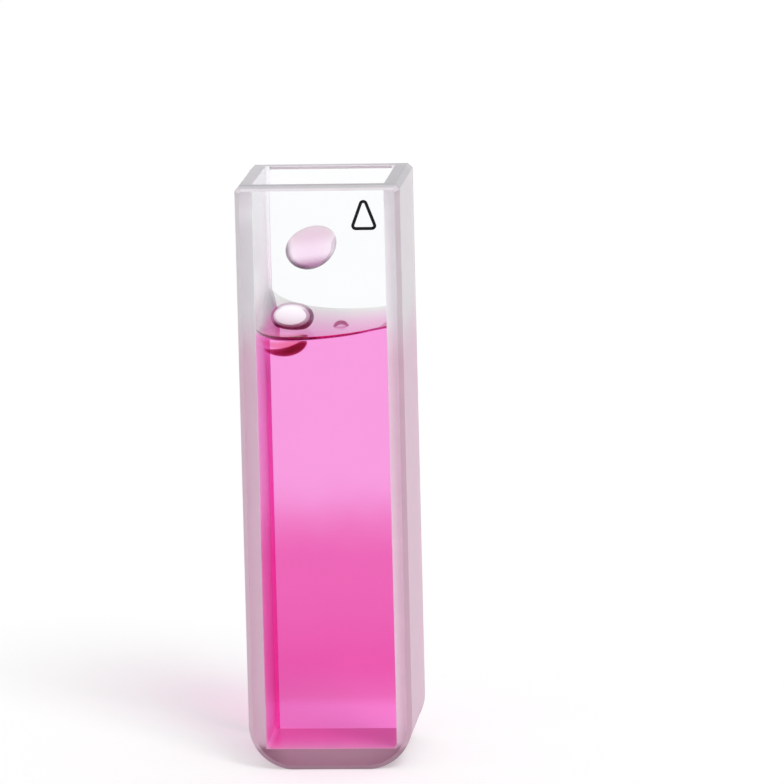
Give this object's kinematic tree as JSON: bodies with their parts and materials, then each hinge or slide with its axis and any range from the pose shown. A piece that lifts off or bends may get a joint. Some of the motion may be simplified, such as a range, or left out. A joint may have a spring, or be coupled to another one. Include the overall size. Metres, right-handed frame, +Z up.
{
  "type": "cuvette",
  "caption": "Square spectrometer cell with clear front and back windows, ground side walls and a rounded ground foot, part filled with pink liquid.",
  "frame": {"origin": "middle of the foot's underside, on the surface the cell stands on", "axes": "+Z up the cell to its open rim; -Y out of the front window, so the light path runs along Y; +X to the right seen from the front"},
  "size_m": [0.0126, 0.0126, 0.045],
  "materials": {
    "ground_quartz": "fused quartz, finely ground outside, polished inside the well",
    "polished_quartz": "fused quartz, optically polished faces, ground edges",
    "dyed_liquid": "clear pink water-based dye",
    "black_print": "thin fired black print"
  },
  "bodies": {
    "root": {"cell_frame": "ground_quartz", "front_window": "polished_quartz", "back_window": "polished_quartz", "sample_liquid": "dyed_liquid", "clinging_drop": "dyed_liquid"}
  },
  "joints": []
}
